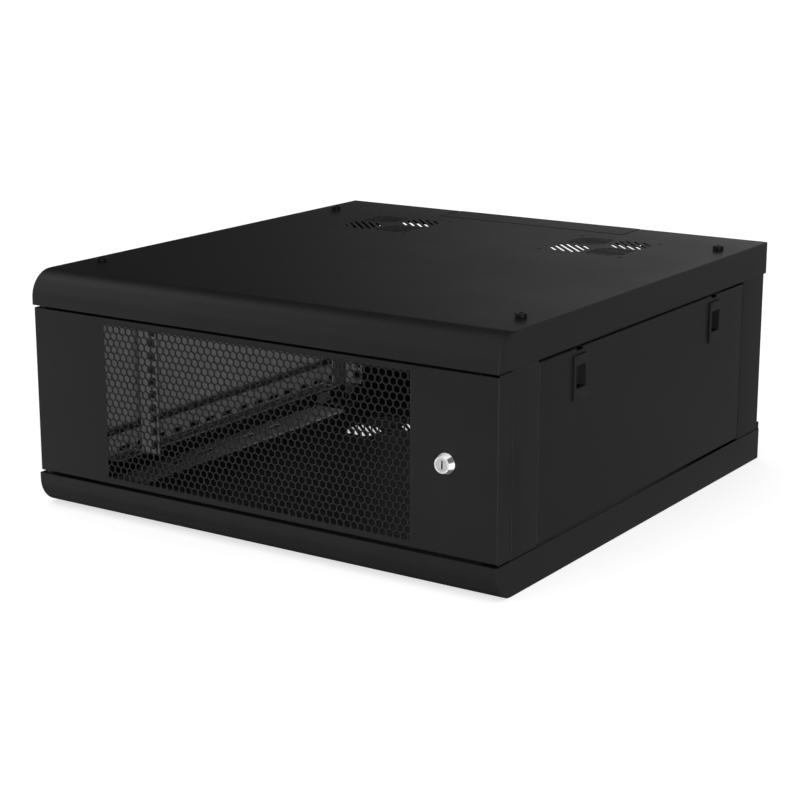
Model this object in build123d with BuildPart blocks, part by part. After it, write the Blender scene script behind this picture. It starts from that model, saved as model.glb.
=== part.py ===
from build123d import *
from math import sqrt, cos, sin, pi
import os

os.makedirs("parts", exist_ok=True)

# ---------------------------------------------------------------- dimensions
# Frame: X across the front, -Y is the front, +Z up, z = 0 is the underside.
W = 600.0            # overall width
H = 268.0            # overall height of the two covers, outside
YF = -310.0          # front face of the curved bezels
YR = 315.0           # outside of the rear flanges
T = 1.2              # cover, post, door and panel sheet
HW = W / 2
CZ = H / 2           # everything is laid out symmetrically about this height

COVER_EDGE = 230.4   # lower edge of the top cover's side flanges and bezel
REAR_EDGE_TOP = 245.0             # lower edge of the top cover's rear flange
REAR_EDGE_TRAY = 46.0             # upper edge of the tray's rear flange
BEZEL_R = 30.0       # outside radius of the curved bezel
BEZEL_RETURN = 20.0  # depth of the bezel's inward return
EDGE_R = 1.4         # outside bend radius of the cover's folds

# side openings and posts
FP_Y0, FP_Y1 = -282.0, -233.3     # front post, front and rear faces
RP_Y0, RP_Y1 = 250.3, 307.5       # rear post, front and rear faces
POST_IN = 268.0      # inner edge of the front post's door stop
POST_RF = 272.0      # inner edge of the post flanges facing the side panel
REAR_IN = 255.0      # inner edge of the rear post's rear flange
JOG = 8.0            # overlap of the joggled post web behind the flush web
SEAM = 1.6           # shadow gap between the posts and the bottom tray

# cover bolts
BOLT_X, BOLT_YF, BOLT_YR = 273.3, -224.0, 232.5
BOLT_R, BOLT_HEAD_R, BOLT_HEAD_H = 3.0, 6.2, 5.2
TAB_X0 = 262.0       # inner edge of the post's bolting tabs

# fan vents, four quadrants of diagonal slots
VENT_X, VENT_Y = 148.0, 176.8
FAN_PITCH, FAN_HOLE_R = 105.0, 2.2
SLOT_D = [17.2, 25.2, 33.2, 41.2, 49.2, 57.2]   # slot distances from the vent centre
SLOT_L = [25.2, 41.2, 57.2, 57.2, 41.2, 25.2]   # their overall lengths
SLOT_W = 4.2

# cable entry in the rear edge of both covers
CAB_X, CAB_Y0 = 132.8, 262.8
CAB_GAP_SIDE, CAB_GAP_FRONT = 2.2, 3.3
CAB_TAB = 11.0

# wall fixing holes in the rear flanges
WALL_X, WALL_Z, WALL_R = 200.0, 11.5, 4.5

# door
DX = 299.5
DY0, DY1 = -307.9, -282.5         # door face and back edge of its free lip
HINGE_LIP_Y = -283.4              # back edge of the lip at the hinge
DZ0, DZ1 = 40.5, 227.3
FREE_LIP_Z0, FREE_LIP_Z1 = 39.3, 229.2
DOOR_LIP = 20.0                   # depth of the door's top and bottom lips
DOOR_R = 1.8
MESH_X, MESH_Z0, MESH_Z1 = 198.5, 47.5, 220.5   # perforated field
MESH_RIM = 1.0                    # plain rim of the perforated sheet
HEX_PITCH, HEX_AF = 8.64, 7.2
HEX_Z1, HEX_X1 = 215.5, -197.3    # first full row and its first hole

# hinge, vertical pins at the door's left edge
HX, HY = -294.5, -297.4
PIN_R, BUSH_BORE, BUSH_R = 2.5, 2.55, 4.0

# lock
LX, LZ = 239.9, 134.0
LOCK_FACE_R, LOCK_BASE_R, LOCK_PROUD = 8.6, 10.75, 7.1
BARREL_R, PLUG_R, PLUG_BORE = 8.2, 6.2, 6.25
CAM_Y0, CAM_Y1, CAM_L, CAM_W = -279.7, -277.7, 35.0, 14.0

# side panels
PY0, PY1 = -231.8, 248.8
PZ0, PZ1 = 40.3, 227.8
PANEL_R = 1.8                     # bend radius of the panel's edges
PANEL_LIP = 288.0                 # inner reach of the panel's lips
LATCH_Y = (-150.5, 169.0)
LATCH_Z = 197.3
LATCH_W, LATCH_H, LATCH_T = 26.0, 47.0, 2.0
STEM_W, STEM_H = 23.0, 28.0
POCKET_W, POCKET_H, POCKET_UP = 20.5, 24.0, 1.0
LATCH_TRAVEL = 6.0

# depth support bars, two low and two high
BAR_X0, BAR_X1, BAR_T = 250.0, 271.5, 1.5
BAR_Z0, BAR_WEB_Z = 38.8, 64.0
BAR_SLOT_Z = 45.5                 # height of the row of slots in the web

# stiffening strips on the tray floor
STRIP_Y0, STRIP_Y1, STRIP_T = -208.0, 216.0, 1.5
STRIP_SLOT_Y = (-97.0, -42.0)

# 19 inch rails
U = 44.45
RAIL_IN, RAIL_HOLE_X, RAIL_OUT = 225.0, 465.1 / 2, 252.0
RAIL_T, RAIL_D = 2.0, 32.0
FOOT_Z0, FOOT_T, FOOT_X = 40.7, 1.5, 268.5
FRONT_RAIL_Y, REAR_RAIL_Y = -190.5, 222.5
RAIL_TRAVEL = 30.0
RB_X = 260.5                      # rail bolt line
SQ = 9.5


def slab(x0, x1, y0, y1, z0, z1, mode=Mode.ADD):
    """Box between two corners, added to the open block."""
    x0, x1 = min(x0, x1), max(x0, x1)
    y0, y1 = min(y0, y1), max(y0, y1)
    z0, z1 = min(z0, z1), max(z0, z1)
    with Locations(((x0 + x1) / 2, (y0 + y1) / 2, (z0 + z1) / 2)):
        Box(x1 - x0, y1 - y0, z1 - z0, mode=mode)


def rod_z(x, y, z0, z1, r, mode=Mode.ADD):
    with Locations((x, y, (z0 + z1) / 2)):
        Cylinder(r, abs(z1 - z0), mode=mode)


def rod_y(x, z, y0, y1, r, mode=Mode.ADD):
    with Locations(Location((x, (y0 + y1) / 2, z), (90, 0, 0))):
        Cylinder(r, abs(y1 - y0), mode=mode)


def save(piece, name):
    piece.part.label = name
    export_step(piece.part, "parts/" + name + ".step")


# ---------------------------------------------------------------- covers
def vent_slots():
    """Slot positions of one vent: (x, y, length, angle)."""
    out = []
    for qx, qy in ((-1, -1), (1, 1), (-1, 1), (1, -1)):
        angle = -45.0 if qx == qy else 45.0
        for d, length in zip(SLOT_D, SLOT_L):
            out.append((qx * d / sqrt(2), qy * d / sqrt(2), length, angle))
    return out


def cover(name, top):
    def zz(z):
        return z if top else H - z

    rear_edge = REAR_EDGE_TOP if top else REAR_EDGE_TRAY
    with BuildPart() as c:
        # outside shape: flat sheet, curved bezel, straight side and rear flanges
        with BuildSketch(Plane.YZ):
            with BuildLine():
                Polyline((YF, zz(H - BEZEL_R)), (YF, zz(COVER_EDGE)), (YR, zz(COVER_EDGE)),
                         (YR, zz(H)), (YF + BEZEL_R, zz(H)))
                s = BEZEL_R * (1 - sqrt(0.5))
                ThreePointArc((YF + BEZEL_R, zz(H)), (YF + s, zz(H - s)), (YF, zz(H - BEZEL_R)))
            make_face()
        extrude(amount=HW, both=True)
        outer = c.faces().sort_by(Axis.Z)[-1 if top else 0].edges()
        fillet(outer.filter_by(Axis.Y), EDGE_R)
        rear = c.edges().filter_by(Axis.X).filter_by(
            lambda e: abs(e.center().Y - YR) < 0.01 and abs(e.center().Z - zz(H)) < 0.01)
        fillet(rear, EDGE_R)
        # hollow it from the open side
        with BuildSketch(Plane.YZ):
            with BuildLine():
                r = BEZEL_R - T
                s = r * (1 - sqrt(0.5))
                Polyline((YF + T, zz(H - BEZEL_R)), (YF + T, zz(COVER_EDGE - 2)), (YR - T, zz(COVER_EDGE - 2)),
                         (YR - T, zz(H - T)), (YF + BEZEL_R, zz(H - T)))
                ThreePointArc((YF + BEZEL_R, zz(H - T)), (YF + T + s, zz(H - T - s)), (YF + T, zz(H - BEZEL_R)))
            make_face()
        extrude(amount=HW - T, both=True, mode=Mode.SUBTRACT)
        # the rear flange is shallower than the side flanges on top, deeper below
        if top:
            slab(-HW + T, HW - T, YR - T - 1, YR + 1, COVER_EDGE - 1, rear_edge, Mode.SUBTRACT)
        else:
            slab(-HW + T, HW - T, YR - T, YR, 30.0, rear_edge)
        # bezel return above the door, with the hinge bush hole
        slab(-HW + T / 2, HW - T / 2, YF + T / 2, YF + BEZEL_RETURN, zz(COVER_EDGE), zz(COVER_EDGE + T))
        rod_z(HX, HY, zz(COVER_EDGE - 1), zz(COVER_EDGE + T + 1), BUSH_R, Mode.SUBTRACT)
        # fold relief at the end of each side fold and bend slots near the door corner
        for s in (-1, 1):
            slab(s * (HW + 1), s * (HW - 2.2), YF + BEZEL_R - 2.0, YF + BEZEL_R + 0.4, zz(H + 1), zz(H - 1.9), Mode.SUBTRACT)
            slab(s * (HW + 1), s * (HW - T - 0.5), -292.9, -291.8, zz(233.2), zz(236.4), Mode.SUBTRACT)
            for y in (PY0 - 0.6, PY1 + 0.6):
                slab(s * (HW + 1), s * (HW - T - 0.5), y - 0.55, y + 0.55, zz(231.6), zz(234.4), Mode.SUBTRACT)
        # fan vents and fan screw holes
        with BuildSketch(Plane.XY.offset(H - 3 if top else -1)):
            for vx in (-VENT_X, VENT_X):
                for x, y, length, angle in vent_slots():
                    with Locations((vx + x, VENT_Y + y)):
                        SlotOverall(length, SLOT_W, rotation=angle)
                with Locations((vx, VENT_Y)):
                    with GridLocations(FAN_PITCH, FAN_PITCH, 2, 2):
                        Circle(FAN_HOLE_R)
        extrude(amount=4, mode=Mode.SUBTRACT)
        # cable entry, cut out of the flat sheet and the rear flange
        slab(-CAB_X, CAB_X, CAB_Y0, YR + 2, zz(H + 1), zz(H - 56), Mode.SUBTRACT)
        # wall fixing holes and cable cover screw holes in the rear flange
        for s in (-1, 1):
            rod_y(s * WALL_X, zz(H - WALL_Z), YR - 4, YR + 2, WALL_R, Mode.SUBTRACT)
            rod_y(s * (CAB_X + 5.5), zz(H - WALL_Z), YR - 4, YR + 2, 1.6, Mode.SUBTRACT)
        # bolt holes
        for x in (-BOLT_X, BOLT_X):
            for y in (BOLT_YF, BOLT_YR):
                if top:
                    rod_z(x, y, H - 3, H + 1, BOLT_R, Mode.SUBTRACT)
                else:
                    with Locations((x, y, T)):
                        Cone(5.6, 3.2, 2 * T, mode=Mode.SUBTRACT)
    save(c, name)


cover("top_cover", True)
cover("bottom_tray", False)


# flush covers of the two cable entries
def cable_cover(name, top):
    def zz(z):
        return z if top else H - z

    rear_edge = REAR_EDGE_TOP if top else REAR_EDGE_TRAY
    gx = CAB_X - CAB_GAP_SIDE
    with BuildPart() as c:
        slab(-gx, gx, CAB_Y0 + CAB_GAP_FRONT, YR, zz(H - T), zz(H))
        slab(-gx, gx, YR - T, YR, rear_edge, zz(H))
        # two stepped tabs under the front edge and ears behind the rear flange
        for s in (-1, 1):
            slab(s * 84, s * 108, CAB_Y0 - CAB_TAB, CAB_Y0 + 10, zz(H - 2 * T), zz(H - T))
            slab(s * (gx - 8), s * (CAB_X + CAB_TAB), YR - 2 * T, YR - T, rear_edge + (3.0 if top else -3.0), zz(H - 5))
            rod_y(s * (CAB_X + 5.5), zz(H - WALL_Z), YR - 4, YR + 2, 1.6, Mode.SUBTRACT)
    save(c, name)


cable_cover("cable_cover_top", True)
cable_cover("cable_cover_bottom", False)

with BuildPart() as cable_screws:
    for z in (WALL_Z, H - WALL_Z):
        for s in (-1, 1):
            rod_y(s * (CAB_X + 5.5), z, YR - 6, YR, 1.6)
            rod_y(s * (CAB_X + 5.5), z, YR - 4.6, YR - 2 * T, 3.2)
save(cable_screws, "cable_cover_screws")


# ---------------------------------------------------------------- posts
def post(name, s, y0, y1, in_front, in_rear):
    """Folded post: flush web between the covers, joggled ends inside them."""
    lo, hi = H - COVER_EDGE + SEAM, COVER_EDGE
    with BuildPart() as p:
        slab(s * (HW - T), s * HW, y0, y1, lo, hi)
        edges = p.edges().filter_by(Axis.Z).filter_by(lambda e: abs(abs(e.center().X) - HW) < 0.01)
        fillet(edges, 1.0)
        # door side and panel side flanges
        slab(s * in_front, s * (HW - T), y0, y0 + T, lo, hi)
        slab(s * in_rear, s * (HW - T), y1 - T, y1, lo, hi)
        for e in (0, 1):
            def zz(z, e=e):
                return H - z if e else z
            # joggled web and flanges inside the cover
            slab(s * (HW - 2 * T), s * (HW - T), y0, y1, zz(3.5), zz(H - COVER_EDGE + JOG))
            slab(s * in_front, s * (HW - T), y0, y0 + T, zz(3.5), zz(H - COVER_EDGE + JOG))
            slab(s * in_rear, s * (HW - T), y1 - T, y1, zz(3.5), zz(H - COVER_EDGE + JOG))
            # bolting tab against the cover
            yb = BOLT_YF if y0 < 0 else BOLT_YR
            ya, yc = (y0 + 6.0, yb + 12.0) if y0 < 0 else (yb - 12.0, y1)
            slab(s * TAB_X0, s * (HW - T), ya, yc, zz(T), zz(2 * T))
            slab(s * (HW - 2 * T), s * (HW - T), ya, yc, zz(T), zz(16.0))
            slab(s * in_rear, s * (HW - T), y1 - T, y1, zz(T), zz(6.0))
            if e:
                rod_z(s * BOLT_X, yb, H - 6, H, BOLT_R, Mode.SUBTRACT)
            else:
                with Locations((s * BOLT_X, yb, T)):
                    Cone(5.6, 3.2, 2 * T, mode=Mode.SUBTRACT)
            # screw hole for the end tab of the support bar
            yb2 = y1 - T / 2 if y0 < 0 else y0 + T / 2
            rod_y(s * 279.0, zz(52.0), yb2 - 3, yb2 + 3, 2.5, Mode.SUBTRACT)
    save(p, name)


for s, side in ((-1, "left"), (1, "right")):
    post("front_post_" + side, s, FP_Y0, FP_Y1, POST_IN, POST_RF)


def rear_post(name, s):
    post(name, s, RP_Y0, RP_Y1, POST_RF, REAR_IN)


for s, side in ((-1, "left"), (1, "right")):
    rear_post("rear_post_" + side, s)

# low socket-head bolts on the top cover, flush countersunk screws below
with BuildPart() as top_bolts:
    for x in (-BOLT_X, BOLT_X):
        for y in (BOLT_YF, BOLT_YR):
            rod_z(x, y, H - 9, H, BOLT_R)
            rod_z(x, y, H, H + BOLT_HEAD_H, BOLT_HEAD_R)
    tops = top_bolts.faces().sort_by(Axis.Z)[-4:]
    chamfer(tops.edges(), 0.6)
    with BuildSketch(Plane.XY.offset(H + BOLT_HEAD_H - 2.4)):
        for x in (-BOLT_X, BOLT_X):
            for y in (BOLT_YF, BOLT_YR):
                with Locations((x, y)):
                    RegularPolygon(2.9, 6)
    extrude(amount=4, mode=Mode.SUBTRACT)
save(top_bolts, "top_bolts")

with BuildPart() as bottom_screws:
    for x in (-BOLT_X, BOLT_X):
        for y in (BOLT_YF, BOLT_YR):
            with Locations((x, y, T)):
                Cone(5.6, 3.2, 2 * T)
            rod_z(x, y, 2 * T, 10.0, BOLT_R)
    with BuildSketch(Plane.XY):
        for x in (-BOLT_X, BOLT_X):
            for y in (BOLT_YF, BOLT_YR):
                with Locations((x, y)):
                    RegularPolygon(2.2, 6)
    extrude(amount=1.6, mode=Mode.SUBTRACT)
save(bottom_screws, "bottom_screws")

with BuildPart() as cover_nuts:
    for z in (2 * T, H - 2 * T - 5.0):
        with BuildSketch(Plane.XY.offset(z)):
            for x in (-BOLT_X, BOLT_X):
                for y in (BOLT_YF, BOLT_YR):
                    with Locations((x, y)):
                        RegularPolygon(5.77, 6)
                        Circle(BOLT_R, mode=Mode.SUBTRACT)
        extrude(amount=5.0)
save(cover_nuts, "cover_nuts")

# hinge bushes pressed into the bezel returns
with BuildPart() as hinge_bushes:
    for z0, z1 in ((H - COVER_EDGE - 3.2, H - COVER_EDGE + 0.8), (COVER_EDGE - 0.8, COVER_EDGE + 3.2)):
        rod_z(HX, HY, z0, z1, BUSH_R)
        rod_z(HX, HY, z0 - 1, z1 + 1, BUSH_BORE, Mode.SUBTRACT)
save(hinge_bushes, "hinge_bushes")


# ---------------------------------------------------------------- support bars
FRONT_SLOT = (FRONT_RAIL_Y + 17.0, RAIL_TRAVEL)
REAR_SLOT = (REAR_RAIL_Y - 17.0, RAIL_TRAVEL)
SLOT_HW = 2.9


def bar(name, s, top):
    def zz(z):
        return H - z if top else z

    with BuildPart() as b:
        slab(s * BAR_X0, s * BAR_X1, FP_Y1, RP_Y0, zz(BAR_Z0), zz(BAR_Z0 + BAR_T))
        slab(s * (BAR_X1 - BAR_T), s * BAR_X1, FP_Y1, RP_Y0, zz(BAR_Z0), zz(BAR_WEB_Z))
        for y0 in (FP_Y1, RP_Y0 - BAR_T):
            slab(s * BAR_X1, s * 286.0, y0, y0 + BAR_T, zz(42.0), zz(62.0))
            rod_y(s * 279.0, zz(52.0), y0 - 2, y0 + 3, 2.5, Mode.SUBTRACT)
        # rail fixing slots in the flange, at the working places and beside them
        with BuildSketch(Plane.XY.offset(min(zz(BAR_Z0 - 1), zz(BAR_Z0 + 3)))):
            for yc, travel in (FRONT_SLOT, REAR_SLOT, (FRONT_SLOT[0] + 80, RAIL_TRAVEL), (REAR_SLOT[0] - 80, RAIL_TRAVEL)):
                with Locations((s * RB_X, yc)):
                    SlotOverall(2 * (travel + SLOT_HW + 0.5), 2 * SLOT_HW, rotation=90)
        extrude(amount=4, mode=Mode.SUBTRACT)
        # row of slots along the web
        with BuildSketch(Plane.YZ.offset(s * BAR_X1 - 4)):
            for k in range(14):
                with Locations((FP_Y1 + 34 + 32 * k, zz(BAR_SLOT_Z))):
                    SlotOverall(20, 6)
        extrude(amount=8, mode=Mode.SUBTRACT)
    save(b, name)


for s, side in ((-1, "left"), (1, "right")):
    for top, lvl in ((False, "lower"), (True, "upper")):
        bar("support_bar_%s_%s" % (lvl, side), s, top)

with BuildPart() as bar_screws:
    for s in (-1, 1):
        for z in (52.0, H - 52.0):
            rod_y(s * 279.0, z, FP_Y1 + BAR_T, FP_Y1 - 5.0, 2.5)
            rod_y(s * 279.0, z, FP_Y1 + BAR_T, FP_Y1 + BAR_T + 3.0, 4.5)
            rod_y(s * 279.0, z, RP_Y0 - BAR_T, RP_Y0 + 5.0, 2.5)
            rod_y(s * 279.0, z, RP_Y0 - BAR_T, RP_Y0 - BAR_T - 3.0, 4.5)
save(bar_screws, "support_bar_screws")


# stiffening strips along both sides of the tray floor
for s, side in ((-1, "left"), (1, "right")):
    with BuildPart() as strip:
        slab(s * 250.0, s * 297.0, STRIP_Y0, STRIP_Y1, T, T + STRIP_T)
        with BuildSketch(Plane.XY):
            for y in STRIP_SLOT_Y:
                with Locations((s * 277.0, y), (s * 277.0, -y)):
                    SlotOverall(30.0, 9.0, rotation=90)
        extrude(amount=6, mode=Mode.SUBTRACT)
    save(strip, "base_strip_" + side)


# ---------------------------------------------------------------- 19 inch rails
def rail(name, s, yf, d):
    """yf is the mounting face, d the direction of the side flange."""
    zb, zt = FOOT_Z0, H - FOOT_Z0
    bolt_y = yf + d * 17.0
    with BuildPart() as r:
        slab(s * RAIL_IN, s * RAIL_OUT, yf, yf + d * RAIL_T, zb, zt)
        slab(s * (RAIL_OUT - RAIL_T), s * RAIL_OUT, yf, yf + d * RAIL_D, zb, zt)
        for z0 in (zb, zt - FOOT_T):
            slab(s * (RAIL_OUT - RAIL_T), s * FOOT_X, yf + d * RAIL_T, yf + d * RAIL_D, z0, z0 + FOOT_T)
            rod_z(s * RB_X, bolt_y, z0 - 1, z0 + FOOT_T + 1, 2.5, Mode.SUBTRACT)
        # square cage-nut holes, three to a unit
        for k in range(4):
            for h in (6.35, 22.225, 38.1):
                z = CZ - 2 * U + k * U + h
                slab(s * (RAIL_HOLE_X - SQ / 2), s * (RAIL_HOLE_X + SQ / 2), yf - 5, yf + 5, z - SQ / 2, z + SQ / 2, Mode.SUBTRACT)
    save(r, name)
    with BuildPart() as b:
        for e in (0, 1):
            def zz(z, e=e):
                return H - z if e else z
            rod_z(s * RB_X, bolt_y, zz(33.2), zz(FOOT_Z0 + FOOT_T), 2.5)
            rod_z(s * RB_X, bolt_y, zz(FOOT_Z0 + FOOT_T), zz(FOOT_Z0 + FOOT_T + 3.0), 4.4)
            with BuildSketch(Plane.XY.offset(min(zz(34.4), zz(38.4)))):
                with Locations((s * RB_X, bolt_y)):
                    RegularPolygon(4.62, 6)
            extrude(amount=4.0)
    save(b, name + "_bolts")


for s, side in ((-1, "left"), (1, "right")):
    rail("rail_front_" + side, s, FRONT_RAIL_Y, 1)
    rail("rail_rear_" + side, s, REAR_RAIL_Y, -1)

# ---------------------------------------------------------------- door
with BuildPart() as door:
    slab(-DX, DX, DY0, DY1, DZ0, DZ1)
    fillet(door.edges().filter_by(Axis.Z).filter_by(lambda e: abs(e.center().Y - DY0) < 0.01), DOOR_R)
    fillet(door.edges().filter_by(Axis.X).filter_by(lambda e: abs(e.center().Y - DY0) < 0.01), 1.0)
    slab(-DX + T, DX - T, DY0 + T, DY1 + 1, DZ0 + T, DZ1 - T, Mode.SUBTRACT)
    # top and bottom lips are shallower than the side lips
    slab(-DX + T, DX - T, DY0 + DOOR_LIP, DY1 + 1, DZ0 - 1, DZ1 + 1, Mode.SUBTRACT)
    # the free lip stands a little taller than the face
    slab(DX - T, DX, DY0 + 2.0, DY1, FREE_LIP_Z0, FREE_LIP_Z1)
    slab(-DX - 1, -DX + T + 1, HINGE_LIP_Y, DY1 + 1, DZ0 - 1, DZ1 + 1, Mode.SUBTRACT)
    # window for the perforated field, lock hole and hinge pin holes
    slab(-MESH_X - MESH_RIM, MESH_X + MESH_RIM, DY0 - 1, DY0 + T + 1, MESH_Z0 - MESH_RIM, MESH_Z1 + MESH_RIM, Mode.SUBTRACT)
    rod_y(LX, LZ, DY0 - 1, DY0 + T + 1, BARREL_R, Mode.SUBTRACT)
    rod_z(HX, HY, DZ0 - 1, DZ0 + T + 1, PIN_R, Mode.SUBTRACT)
    rod_z(HX, HY, DZ1 - T - 1, DZ1 + 1, PIN_R, Mode.SUBTRACT)
save(door, "door_panel")

# perforated field: staggered hexagonal holes, clipped by the field's edges
ROW = HEX_PITCH * sqrt(3) / 2
HEX_R = HEX_AF / sqrt(3)


def clip(points, axis, limit, keep_below):
    """Part of a convex outline on one side of a line."""
    out = []
    for i, p in enumerate(points):
        q = points[(i + 1) % len(points)]
        dp = (limit - p[axis]) if keep_below else (p[axis] - limit)
        dq = (limit - q[axis]) if keep_below else (q[axis] - limit)
        if dp >= 0:
            out.append(p)
        if dp * dq < 0:
            f = dp / (dp - dq)
            out.append((p[0] + f * (q[0] - p[0]), p[1] + f * (q[1] - p[1])))
    return out


def area(points):
    return abs(sum(p[0] * q[1] - q[0] * p[1] for p, q in zip(points, points[1:] + points[:1]))) / 2


holes = []
row = -1
while HEX_Z1 - row * ROW > MESH_Z0 - HEX_R:
    z = HEX_Z1 - row * ROW
    x = HEX_X1 + (HEX_PITCH / 2 if row % 2 else 0) - HEX_PITCH
    while x < MESH_X + HEX_AF / 2:
        outline = [(x + HEX_R * sin(k * pi / 3), z + HEX_R * cos(k * pi / 3)) for k in range(6)]
        for axis, limit, below in ((0, MESH_X, True), (0, -MESH_X, False), (1, MESH_Z1, True), (1, MESH_Z0, False)):
            outline = clip(outline, axis, limit, below) if outline else outline
        if len(outline) > 2 and area(outline) > 2.0:
            holes.append(outline)
        x += HEX_PITCH
    row += 1

mx, mz0, mz1 = MESH_X + MESH_RIM, MESH_Z0 - MESH_RIM, MESH_Z1 + MESH_RIM
field = Face(Wire.make_polygon([(-mx, DY0 + T, mz0), (mx, DY0 + T, mz0), (mx, DY0 + T, mz1), (-mx, DY0 + T, mz1)]),
             [Wire.make_polygon([(x, DY0 + T, z) for x, z in h]) for h in holes])
with BuildPart() as mesh:
    extrude(field, amount=T, dir=(0, -1, 0))
save(mesh, "door_mesh")

# hinge pins, held in the door's lips
for name, z_in, z_face, z_out in (("hinge_pin_upper", DZ1 - T - 2.0, DZ1 - T, COVER_EDGE + 2.7),
                                  ("hinge_pin_lower", DZ0 + T + 2.0, DZ0 + T, H - COVER_EDGE - 2.7)):
    with BuildPart() as pin:
        rod_z(HX, HY, z_face, z_out, PIN_R)
        rod_z(HX, HY, z_in, z_face, 3.6)
    save(pin, name)

# lock: bevelled body, nut, turning plug with a key slot, cam and its screw
with BuildPart() as lock_body:
    with Locations(Location((LX, DY0 - LOCK_PROUD / 2, LZ), (90, 0, 0))):
        Cone(LOCK_BASE_R, LOCK_FACE_R, LOCK_PROUD)
    rod_y(LX, LZ, DY0, -283.2, BARREL_R)
    rod_y(LX, LZ, DY0 - LOCK_PROUD - 1, -282.0, PLUG_BORE, Mode.SUBTRACT)
    slab(LX - 9, LX - 7.2, DY0 + 1.4, -282.0, LZ - 9, LZ + 9, Mode.SUBTRACT)
    slab(LX + 7.2, LX + 9, DY0 + 1.4, -282.0, LZ - 9, LZ + 9, Mode.SUBTRACT)
save(lock_body, "lock_body")

with BuildPart() as lock_nut:
    with BuildSketch(Plane.XZ.offset(-DY0 - T)):
        with Locations((LX, LZ)):
            RegularPolygon(12.7, 6)
            Circle(BARREL_R, mode=Mode.SUBTRACT)
    extrude(amount=-4.0)
save(lock_nut, "lock_nut")

with BuildPart() as lock_plug:
    rod_y(LX, LZ, DY0 - LOCK_PROUD + 0.3, CAM_Y0, PLUG_R)
    slab(LX - 0.9, LX + 0.9, DY0 - LOCK_PROUD - 1, DY0 + 8, LZ - 4.4, LZ + 4.4, Mode.SUBTRACT)
save(lock_plug, "lock_plug")

with BuildPart() as lock_cam:
    with BuildSketch(Plane.XZ.offset(-CAM_Y1)):
        with Locations((LX, LZ)):
            Circle(CAM_W / 2)
        with Locations((LX, LZ - (CAM_L - 3) / 2)):
            Rectangle(CAM_W, CAM_L - 3)
        with Locations((LX, LZ - CAM_L + 7)):
            Rectangle(CAM_W - 5, 14)
        with Locations((LX, LZ)):
            Circle(2.0, mode=Mode.SUBTRACT)
    extrude(amount=CAM_Y1 - CAM_Y0)
save(lock_cam, "lock_cam")

with BuildPart() as cam_screw:
    rod_y(LX, LZ, CAM_Y0, CAM_Y1, 2.0)
    rod_y(LX, LZ, CAM_Y1, CAM_Y1 + 2.6, 3.8)
    slab(LX - 4, LX + 4, CAM_Y1 + 1.7, CAM_Y1 + 3, LZ - 0.5, LZ + 0.5, Mode.SUBTRACT)
save(cam_screw, "cam_screw")


# ---------------------------------------------------------------- side panels
def side_panel(name, s):
    with BuildPart() as p:
        slab(s * PANEL_LIP, s * HW, PY0, PY1, PZ0, PZ1)
        outer = p.faces().sort_by(Axis.X)[-1 if s > 0 else 0].edges()
        fillet(outer, PANEL_R)
        slab(s * (PANEL_LIP - 1), s * (HW - T), PY0 + T, PY1 - T, PZ0 + T, PZ1 - T, Mode.SUBTRACT)
        for y in LATCH_Y:
            # window for the latch stem and notch for its tongue
            slab(s * (HW - 3), s * (HW + 1), y - STEM_W / 2 - 0.5, y + STEM_W / 2 + 0.5,
                 LATCH_Z - STEM_H / 2 - 0.5, LATCH_Z + STEM_H / 2 + LATCH_TRAVEL + 0.5, Mode.SUBTRACT)
            slab(s * 290.0, s * (HW + 1), y - 7.0, y + 7.0, PZ1 - 2.8, PZ1 + 1, Mode.SUBTRACT)
    save(p, name)


def latch(name, s, y):
    g = 0.35
    with BuildPart() as p:
        slab(s * (HW + g), s * (HW + g + LATCH_T), y - LATCH_W / 2, y + LATCH_W / 2,
             LATCH_Z - LATCH_H / 2, LATCH_Z + LATCH_H / 2)
        outer = p.faces().sort_by(Axis.X)[-1 if s > 0 else 0].edges()
        fillet(outer, 0.8)
        slab(s * 290.5, s * (HW + g), y - STEM_W / 2, y + STEM_W / 2, LATCH_Z - STEM_H / 2, LATCH_Z + STEM_H / 2)
        # ears behind the panel keep the latch in its window
        slab(s * 295.6, s * 298.4, y - STEM_W / 2 - 2.4, y + STEM_W / 2 + 2.4, LATCH_Z - STEM_H / 2, LATCH_Z + STEM_H / 2)
        # tongue that rises behind the cover's side flange
        slab(s * 291.0, s * 294.0, y - 6.0, y + 6.0, LATCH_Z, PZ1 - 0.9)
        # finger pocket
        slab(s * 292.6, s * (HW + 5), y - POCKET_W / 2, y + POCKET_W / 2,
             LATCH_Z + POCKET_UP - POCKET_H / 2, LATCH_Z + POCKET_UP + POCKET_H / 2, Mode.SUBTRACT)
    save(p, name)


for s, side in ((-1, "left"), (1, "right")):
    side_panel("side_panel_" + side, s)
    latch("latch_%s_front" % side, s, LATCH_Y[0])
    latch("latch_%s_rear" % side, s, LATCH_Y[1])
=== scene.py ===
import bpy, bmesh, math
from mathutils import Vector, Matrix


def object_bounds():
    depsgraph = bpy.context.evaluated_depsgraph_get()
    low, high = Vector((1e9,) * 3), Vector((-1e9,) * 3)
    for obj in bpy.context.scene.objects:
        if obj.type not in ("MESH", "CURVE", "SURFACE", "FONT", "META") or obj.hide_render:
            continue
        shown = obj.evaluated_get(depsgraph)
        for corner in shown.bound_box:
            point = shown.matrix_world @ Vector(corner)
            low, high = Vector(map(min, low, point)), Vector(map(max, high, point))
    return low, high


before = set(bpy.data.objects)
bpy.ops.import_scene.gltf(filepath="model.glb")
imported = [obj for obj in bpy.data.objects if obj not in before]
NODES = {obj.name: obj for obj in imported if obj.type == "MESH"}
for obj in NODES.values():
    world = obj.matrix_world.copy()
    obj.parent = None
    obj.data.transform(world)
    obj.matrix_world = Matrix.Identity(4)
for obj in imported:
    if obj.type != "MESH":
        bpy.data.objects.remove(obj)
cad_lo, cad_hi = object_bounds()
scene = bpy.context.scene
coll = scene.collection
scene.view_settings.view_transform = "Standard"
scene.view_settings.look = "None"

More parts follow.
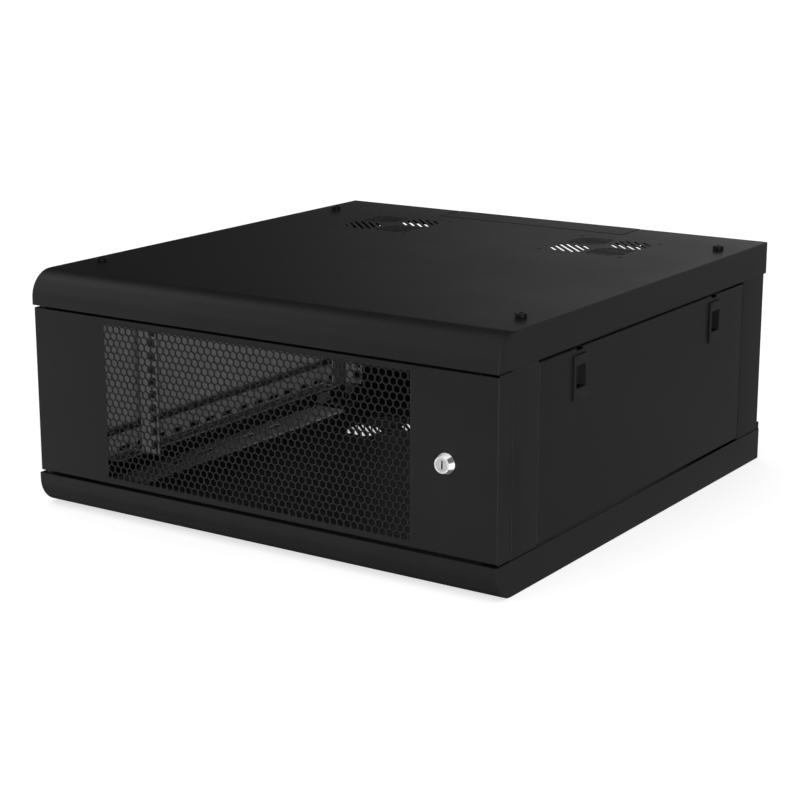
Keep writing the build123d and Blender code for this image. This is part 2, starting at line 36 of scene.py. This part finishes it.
# ------------------------------------------------------------------ camera
F_PX = 1971.3                                    # focal length for an 800 pixel frame
YAW, PITCH = math.radians(33.6), math.radians(14.39)
CAM = Vector((1.22087, -1.86470, 0.66942))
fwd = Vector((-math.sin(YAW) * math.cos(PITCH), math.cos(YAW) * math.cos(PITCH), -math.sin(PITCH)))
rgt = Vector((math.cos(YAW), math.sin(YAW), 0.0))
upv = rgt.cross(fwd)
cam_data = bpy.data.cameras.new("camera")
cam_data.sensor_width = 36.0
cam_data.lens = F_PX * 36.0 / 800.0
cam_data.clip_end = 100.0
cam_data.shift_x = 0.25 / 800.0
cam_data.shift_y = 0.30 / 800.0
cam = bpy.data.objects.new("camera", cam_data)
coll.objects.link(cam)
cam.matrix_world = Matrix(((rgt.x, upv.x, -fwd.x, CAM.x), (rgt.y, upv.y, -fwd.y, CAM.y),
                           (rgt.z, upv.z, -fwd.z, CAM.z), (0, 0, 0, 1)))
scene.camera = cam


# ------------------------------------------------------------------ node helpers
def new_mat(name):
    mat = bpy.data.materials.new(name)
    mat.use_nodes = True
    nt = mat.node_tree
    for n in list(nt.nodes):
        nt.nodes.remove(n)
    out = nt.nodes.new("ShaderNodeOutputMaterial")
    bsdf = nt.nodes.new("ShaderNodeBsdfPrincipled")
    nt.links.new(bsdf.outputs[0], out.inputs[0])
    return mat, nt, bsdf


def node(nt, kind, **values):
    n = nt.nodes.new("ShaderNode" + kind)
    for k, v in values.items():
        if hasattr(n, k):
            setattr(n, k, v)
        else:
            n.inputs[k.replace("_", " ")].default_value = v
    return n


def math_node(nt, op, a, b=None, c=None, clamp=False):
    n = nt.nodes.new("ShaderNodeMath")
    n.operation = op
    n.use_clamp = clamp
    for i, v in enumerate((a, b, c)):
        if v is None:
            continue
        if isinstance(v, (int, float)):
            n.inputs[i].default_value = v
        else:
            nt.links.new(v, n.inputs[i])
    return n.outputs[0]


def ramp(nt, fac, stops):
    n = nt.nodes.new("ShaderNodeValToRGB")
    el = n.color_ramp.elements
    while len(el) < len(stops):
        el.new(0.5)
    for e, (p, c) in zip(el, stops):
        e.position = p
        e.color = (c[0], c[1], c[2], 1.0) if isinstance(c, (tuple, list)) else (c, c, c, 1.0)
    nt.links.new(fac, n.inputs[0])
    return n.outputs[0]


def noise(nt, coord, scale, detail=3.0, rough=0.5, dist=0.0):
    n = nt.nodes.new("ShaderNodeTexNoise")
    n.inputs["Scale"].default_value = scale
    n.inputs["Detail"].default_value = detail
    n.inputs["Roughness"].default_value = rough
    n.inputs["Distortion"].default_value = dist
    nt.links.new(coord, n.inputs["Vector"])
    return n.outputs["Fac"] if "Fac" in n.outputs else n.outputs[0]


def edge_mask(nt, radius):
    """1 along convex and concave edges, 0 on flats."""
    bev = nt.nodes.new("ShaderNodeBevel")
    bev.samples = 4
    bev.inputs["Radius"].default_value = radius
    geo = nt.nodes.new("ShaderNodeNewGeometry")
    dot = nt.nodes.new("ShaderNodeVectorMath")
    dot.operation = "DOT_PRODUCT"
    nt.links.new(bev.outputs[0], dot.inputs[0])
    nt.links.new(geo.outputs["True Normal"], dot.inputs[1])
    d = math_node(nt, "SUBTRACT", 1.0, dot.outputs["Value"], clamp=True)
    return math_node(nt, "MULTIPLY", d, 4.0, clamp=True)


def powder(name, base, rough, grain=0.10, spec=0.21, edge=0.35, bevel=0.0009, inner_painted_light_shade=None):
    """Satin powder coat: fine orange peel, faint cloudiness, thin polished edges."""
    mat, nt, bsdf = new_mat(name)
    tc = nt.nodes.new("ShaderNodeTexCoord").outputs["Object"]
    peel = noise(nt, tc, 900.0, 2.0, 0.55)
    fine = noise(nt, tc, 2600.0, 1.0, 0.5)
    cloud = noise(nt, tc, 9.0, 4.0, 0.55)
    dust = noise(nt, tc, 60.0, 5.0, 0.7)
    em = edge_mask(nt, bevel)
    worn = math_node(nt, "MULTIPLY", em, ramp(nt, dust, [(0.35, 0.25), (0.7, 1.0)]))
    # colour: base, a little cloudier and lighter in patches, lighter on the edges
    c_lo = tuple(v * 0.88 for v in base)
    c_hi = tuple(v * 1.14 for v in base)
    body = ramp(nt, cloud, [(0.3, c_lo), (0.7, c_hi)])
    mix = nt.nodes.new("ShaderNodeMixRGB")
    mix.blend_type = "MIX"
    nt.links.new(math_node(nt, "MULTIPLY", worn, edge), mix.inputs[0])
    nt.links.new(body, mix.inputs[1])
    mix.inputs[2].default_value = (base[0] * 3.2, base[1] * 3.2, base[2] * 3.2, 1)
    coat = mix.outputs[0]
    if inner_painted_light_shade:
        # faces turned towards the cabinet's middle take the inner tone: painted light where it is lighter than the coat
        # (panels, posts, bars), painted shade where it is darker (rails), standing in for how light falls inside the
        # cabinet
        tcn = nt.nodes.new("ShaderNodeTexCoord")
        sp = nt.nodes.new("ShaderNodeSeparateXYZ")
        sn = nt.nodes.new("ShaderNodeSeparateXYZ")
        nt.links.new(tcn.outputs["Object"], sp.inputs[0])
        nt.links.new(tcn.outputs["Normal"], sn.inputs[0])
        side = math_node(nt, "MULTIPLY", sp.outputs[0], sn.outputs[0])
        side = math_node(nt, "MULTIPLY", side, -20.0, clamp=True)
        inner_painted_tone = ramp(nt, cloud, [(0.3, tuple(v * 0.9 for v in inner_painted_light_shade)), (0.7, tuple(v * 1.1 for v in inner_painted_light_shade))])
        im = nt.nodes.new("ShaderNodeMixRGB")
        nt.links.new(side, im.inputs[0])
        nt.links.new(coat, im.inputs[1])
        nt.links.new(inner_painted_tone, im.inputs[2])
        coat = im.outputs[0]
    speck = nt.nodes.new("ShaderNodeMixRGB")
    speck.blend_type = "MULTIPLY"
    speck.inputs[0].default_value = 1.0
    nt.links.new(coat, speck.inputs[1])
    nt.links.new(ramp(nt, fine, [(0.3, 0.86), (0.7, 1.12)]), speck.inputs[2])
    nt.links.new(speck.outputs[0], bsdf.inputs["Base Color"])
    r = math_node(nt, "MULTIPLY_ADD", cloud, 0.10, rough - 0.05)
    r = math_node(nt, "MULTIPLY_ADD", peel, 0.06, r)
    r = math_node(nt, "MULTIPLY_ADD", worn, -0.08, r, clamp=True)
    nt.links.new(r, bsdf.inputs["Roughness"])
    bsdf.inputs["Specular IOR Level"].default_value = spec
    bev = nt.nodes.new("ShaderNodeBevel")
    bev.samples = 4
    bev.inputs["Radius"].default_value = bevel
    bump = nt.nodes.new("ShaderNodeBump")
    bump.inputs["Strength"].default_value = grain
    bump.inputs["Distance"].default_value = 0.0003
    h = math_node(nt, "MULTIPLY_ADD", fine, 0.35, peel)
    nt.links.new(h, bump.inputs["Height"])
    nt.links.new(bev.outputs[0], bump.inputs["Normal"])
    nt.links.new(bump.outputs[0], bsdf.inputs["Normal"])
    return mat


def metal(name, color, rough, brushed=(1, 1, 1), scale=700.0, grain=0.12, edge=0.3, tint=None, bevel=0.0004, painted_glint_axis=None, metallic=1.0, keyway_shade_y=None):
    """Plain or plated metal with brush or tumbling marks."""
    mat, nt, bsdf = new_mat(name)
    tc = nt.nodes.new("ShaderNodeTexCoord").outputs["Object"]
    mp = nt.nodes.new("ShaderNodeMapping")
    mp.inputs["Scale"].default_value = brushed
    nt.links.new(tc, mp.inputs["Vector"])
    br = noise(nt, mp.outputs[0], scale, 4.0, 0.6)
    cl = noise(nt, tc, 120.0, 3.0, 0.6)
    em = edge_mask(nt, bevel)
    tint = tint or tuple(v * 0.72 for v in color)
    body = ramp(nt, cl, [(0.3, tint), (0.65, color)])
    mix = nt.nodes.new("ShaderNodeMixRGB")
    mix.blend_type = "MULTIPLY"
    mix.inputs[0].default_value = 1.0
    nt.links.new(body, mix.inputs[1])
    nt.links.new(ramp(nt, br, [(0.3, 0.82), (0.7, 1.1)]), mix.inputs[2])
    col = mix.outputs[0]
    if painted_glint_axis:
        # lock bevel: painted reflections as light and dark sectors round the axis, white at the top and right with grey
        # between; an even satin tone on the faces across it
        pos = nt.nodes.new("ShaderNodeSeparateXYZ")
        nrm = nt.nodes.new("ShaderNodeSeparateXYZ")
        tcs = nt.nodes.new("ShaderNodeTexCoord")
        nt.links.new(tcs.outputs["Object"], pos.inputs[0])
        nt.links.new(tcs.outputs["Normal"], nrm.inputs[0])
        ang = math_node(nt, "ARCTAN2", math_node(nt, "SUBTRACT", pos.outputs[2], painted_glint_axis[1]),
                        math_node(nt, "SUBTRACT", pos.outputs[0], painted_glint_axis[0]))
        turn = math_node(nt, "MULTIPLY_ADD", ang, 1.0 / (2 * math.pi), 0.5)
        painted_glint_sectors = ramp(nt, turn, [(0.06, 0.45), (0.12, 0.20), (0.30, 0.30), (0.375, 0.10), (0.425, 0.13), (0.450, 0.95),
                               (0.530, 0.95), (0.555, 0.13), (0.625, 0.11), (0.650, 0.95), (0.83, 0.95), (0.90, 0.25)])
        flat = math_node(nt, "MULTIPLY_ADD", math_node(nt, "ABSOLUTE", nrm.outputs[1]), 8.0, -6.0, clamp=True)
        pick = nt.nodes.new("ShaderNodeMixRGB")
        nt.links.new(flat, pick.inputs[0])
        nt.links.new(painted_glint_sectors, pick.inputs[1])
        pick.inputs[2].default_value = (0.44, 0.44, 0.44, 1)
        mul = nt.nodes.new("ShaderNodeMixRGB")
        mul.blend_type = "MULTIPLY"
        mul.inputs[0].default_value = 1.0
        nt.links.new(col, mul.inputs[1])
        nt.links.new(pick.outputs[0], mul.inputs[2])
        col = mul.outputs[0]
    if keyway_shade_y is not None:
        # painted shade: dark inside the keyway, below the plug's face
        pd = nt.nodes.new("ShaderNodeSeparateXYZ")
        nt.links.new(tc, pd.inputs[0])
        keyway_shade = math_node(nt, "MULTIPLY", math_node(nt, "SUBTRACT", pd.outputs[1], keyway_shade_y), 4000.0, clamp=True)
        dk = nt.nodes.new("ShaderNodeMixRGB")
        nt.links.new(keyway_shade, dk.inputs[0])
        nt.links.new(col, dk.inputs[1])
        dk.inputs[2].default_value = (0.004, 0.004, 0.004, 1)
        col = dk.outputs[0]
    nt.links.new(col, bsdf.inputs["Base Color"])
    bsdf.inputs["Metallic"].default_value = metallic
    r = math_node(nt, "MULTIPLY_ADD", br, 0.16, rough - 0.08)
    r = math_node(nt, "MULTIPLY_ADD", em, -edge * 0.3, r, clamp=True)
    nt.links.new(r, bsdf.inputs["Roughness"])
    bev = nt.nodes.new("ShaderNodeBevel")
    bev.samples = 4
    bev.inputs["Radius"].default_value = bevel
    bump = nt.nodes.new("ShaderNodeBump")
    bump.inputs["Strength"].default_value = grain
    bump.inputs["Distance"].default_value = 0.0002
    nt.links.new(br, bump.inputs["Height"])
    nt.links.new(bev.outputs[0], bump.inputs["Normal"])
    nt.links.new(bump.outputs[0], bsdf.inputs["Normal"])
    return mat


BLACK = (0.0047, 0.0047, 0.0050)
# painted light: a lighter colour for the side panels' inward faces; the posts and bars below get painted light on their
# inward faces too, the rails painted shade
INNER_PAINTED_LIGHT = (0.112, 0.112, 0.115)
MATS = {
    "coat": powder("coat_black", BLACK, 0.38),
    "panel": powder("coat_panel", BLACK, 0.40, inner_painted_light_shade=INNER_PAINTED_LIGHT),
    "post": powder("coat_post", BLACK, 0.40, inner_painted_light_shade=(0.060, 0.060, 0.062)),
    "door": powder("coat_door", (0.0047, 0.0047, 0.0050), 0.40),
    "strip": powder("coat_strip", (0.260, 0.260, 0.265), 0.5, grain=0.08),
    "rail": powder("coat_rail", (0.105, 0.105, 0.107), 0.5, grain=0.08, inner_painted_light_shade=(0.030, 0.030, 0.031)),
    "bar": powder("coat_bar", (0.075, 0.075, 0.077), 0.5, grain=0.08, inner_painted_light_shade=(0.085, 0.085, 0.087)),
    "latch": powder("coat_latch", (0.0047, 0.0047, 0.0050), 0.38, grain=0.06, edge=0.5, bevel=0.0006),
    "oxide": powder("oxide_black", (0.0030, 0.0030, 0.0032), 0.34, grain=0.05, edge=0.4, bevel=0.0005),
    "zinc": metal("zinc_plated", (0.60, 0.61, 0.63), 0.36),
    "chrome": metal("chrome_lock", (0.86, 0.86, 0.87), 0.22, scale=1500.0, grain=0.03, painted_glint_axis=(0.2399, 0.134), metallic=0.30),
    "nickel": metal("satin_nickel", (0.33, 0.33, 0.335), 0.34, scale=1800.0, grain=0.06, metallic=0.45, keyway_shade_y=-0.3143),
    "brass": metal("brass_bush", (0.62, 0.46, 0.20), 0.35),
}


def tidy(o):
    """Weld the split vertices and keep only real edges sharp."""
    w = o.modifiers.new("weld", "WELD")
    w.merge_threshold = 1e-6
    for p in o.data.polygons:
        p.use_smooth = True
    e = o.modifiers.new("split", "EDGE_SPLIT")
    e.split_angle = math.radians(28)


def use(mat, *names):
    for n in names:
        o = NODES[n]
        o.data.materials.clear()
        o.data.materials.append(MATS[mat])
        tidy(o)


use("coat", "top_cover", "bottom_tray", "cable_cover_top", "cable_cover_bottom")
use("post", "front_post_left", "front_post_right", "rear_post_left", "rear_post_right")
use("panel", "side_panel_left", "side_panel_right")
use("door", "door_panel", "door_mesh")
use("bar", "support_bar_lower_left", "support_bar_lower_right", "support_bar_upper_left", "support_bar_upper_right")
use("strip", "base_strip_left", "base_strip_right")
use("rail", "rail_front_left", "rail_front_right", "rail_rear_left", "rail_rear_right")
use("latch", "latch_left_front", "latch_left_rear", "latch_right_front", "latch_right_rear")
use("oxide", "top_bolts", "bottom_screws", "cable_cover_screws")
use("zinc", "cover_nuts", "support_bar_screws", "rail_front_left_bolts", "rail_front_right_bolts",
    "rail_rear_left_bolts", "rail_rear_right_bolts", "hinge_pin_upper", "hinge_pin_lower", "lock_nut", "lock_cam", "cam_screw")
use("chrome", "lock_body")
use("nickel", "lock_plug")
use("brass", "hinge_bushes")

# ------------------------------------------------------------------ floor and light
fm, fnt, fb = new_mat("floor_pale")
ftc = fnt.nodes.new("ShaderNodeTexCoord").outputs["Object"]
fcol = ramp(fnt, noise(fnt, ftc, 3.0, 2.0), [(0.3, 0.44), (0.7, 0.46)])
fnt.links.new(fcol, fb.inputs["Base Color"])
fb.inputs["Roughness"].default_value = 0.9
fb.inputs["Specular IOR Level"].default_value = 0.0
fb.inputs["Emission Color"].default_value = (1, 1, 1, 1)
fb.inputs["Emission Strength"].default_value = 0.60
me = bpy.data.meshes.new("floor")
bm = bmesh.new()
S, N = 40.0, 8
bmesh.ops.create_grid(bm, x_segments=N, y_segments=N, size=S)
bm.to_mesh(me)
bm.free()
floor = bpy.data.objects.new("floor", me)
coll.objects.link(floor)
floor.location = (0, 0, cad_lo.z - 0.0002)
me.materials.append(fm)
floor.visible_glossy = False

world = bpy.data.worlds.new("studio")
scene.world = world
world.use_nodes = True
wnt = world.node_tree
for n in list(wnt.nodes):
    wnt.nodes.remove(n)
wout = wnt.nodes.new("ShaderNodeOutputWorld")
lp = wnt.nodes.new("ShaderNodeLightPath")
bg_cam = wnt.nodes.new("ShaderNodeBackground")
bg_cam.inputs[0].default_value = (1, 1, 1, 1)
bg_cam.inputs[1].default_value = 1.0
bg_gls = wnt.nodes.new("ShaderNodeBackground")
bg_gls.inputs[0].default_value = (1, 1, 1, 1)
mixs = wnt.nodes.new("ShaderNodeMixShader")
wnt.links.new(lp.outputs["Is Glossy Ray"], mixs.inputs[0])
wnt.links.new(bg_cam.outputs[0], mixs.inputs[1])
wnt.links.new(bg_gls.outputs[0], mixs.inputs[2])
wnt.links.new(mixs.outputs[0], wout.inputs[0])
wdir = wnt.nodes.new("ShaderNodeTexCoord").outputs["Generated"]
wsep = wnt.nodes.new("ShaderNodeSeparateXYZ")
wnt.links.new(wdir, wsep.inputs[0])
WX, WY, WZ = wsep.outputs


def soft_step(value, lo, hi):
    """0 at lo, 1 at hi, smooth between; lo may be above hi."""
    n = wnt.nodes.new("ShaderNodeMapRange")
    n.interpolation_type = "SMOOTHSTEP"
    a, b = (lo, hi) if lo < hi else (hi, lo)
    n.inputs["From Min"].default_value = a
    n.inputs["From Max"].default_value = b
    n.inputs["To Min"].default_value = 0.0 if lo < hi else 1.0
    n.inputs["To Max"].default_value = 1.0 if lo < hi else 0.0
    wnt.links.new(value, n.inputs["Value"])
    return n.outputs[0]


def wm(op, a, b):
    return math_node(wnt, op, a, b)


# soft box over and in front of the object, fading towards the back and below
front = soft_step(WY, 0.50, -0.02)
left = math_node(wnt, "MULTIPLY_ADD", soft_step(WX, -0.44, -0.74), 0.58, 0.25)
sill = math_node(wnt, "MULTIPLY_ADD", soft_step(WZ, -0.16, -0.27), 0.30, 0.85)
low = math_node(wnt, "MULTIPLY_ADD", soft_step(WZ, -0.32, -0.62), -0.74, 1.0)
band_a = wm("MULTIPLY", soft_step(WY, -0.22, 0.0), soft_step(WY, 0.22, 0.0))
band_b = wm("MULTIPLY", soft_step(WZ, 0.10, 0.32), soft_step(WZ, 0.56, 0.34))
band = math_node(wnt, "MULTIPLY_ADD", wm("MULTIPLY", band_a, soft_step(WZ, 0.3, 0.6)), 0.45, 1.0)
band = math_node(wnt, "MULTIPLY_ADD", wm("MULTIPLY", band_b, soft_step(WY, -0.2, -0.6)), 0.60, band)
over = math_node(wnt, "MULTIPLY_ADD", soft_step(WZ, 0.10, 0.45), 0.35, 1.0)
box = wm("MULTIPLY", wm("MULTIPLY", wm("MULTIPLY", front, left), wm("MULTIPLY", band, low)), wm("MULTIPLY", over, sill))
# narrow card at the front right, for the upright edges
card = wm("MULTIPLY", wm("MULTIPLY", soft_step(WX, 0.58, 0.82), soft_step(WY, -0.20, -0.48)), 3.0)
# weaker light from the right and from below the horizon behind
right = wm("MULTIPLY", soft_step(WX, -0.10, 0.30), soft_step(WZ, 0.14, -0.08))
right = wm("MULTIPLY", right, math_node(wnt, "MULTIPLY_ADD", soft_step(WY, 0.79, 0.93), 0.24, 0.10))
behind = wm("MULTIPLY", wm("MULTIPLY", soft_step(WY, -0.10, 0.30), soft_step(WZ, 0.06, -0.16)), soft_step(WZ, -0.60, -0.36))
side = math_node(wnt, "MAXIMUM", right, wm("MULTIPLY", behind, 0.20))
# wide card low behind, which grades the top from front left to rear right
top = wm("MULTIPLY", wm("MULTIPLY", soft_step(WY, 0.75, 0.97), soft_step(WZ, -0.05, 0.15)), 0.66)
total = wm("ADD", wm("ADD", box, side), wm("ADD", wm("ADD", top, card), 0.03))
wnt.links.new(total, bg_gls.inputs[1])


def area(name, loc, target, size, power, size_y=None):
    d = bpy.data.lights.new(name, "AREA")
    d.shape = "RECTANGLE"
    d.size = size
    d.size_y = size_y or size
    d.energy = power
    o = bpy.data.objects.new(name, d)
    coll.objects.link(o)
    o.location = loc
    o.rotation_mode = "QUATERNION"
    o.rotation_quaternion = (Vector(target) - Vector(loc)).to_track_quat("-Z", "Y")
    return o


for name, loc, aim, size, watts in (("key_top", (-0.8, -1.6, 3.2), (0, 0, 0.1), 2.6, 22),
                                    ("front_right", (1.44, -1.95, 0.20), (-0.3, -0.1, 0.13), 0.32, 92)):
    lamp = area(name, loc, aim, size, watts)
    lamp.visible_glossy = False
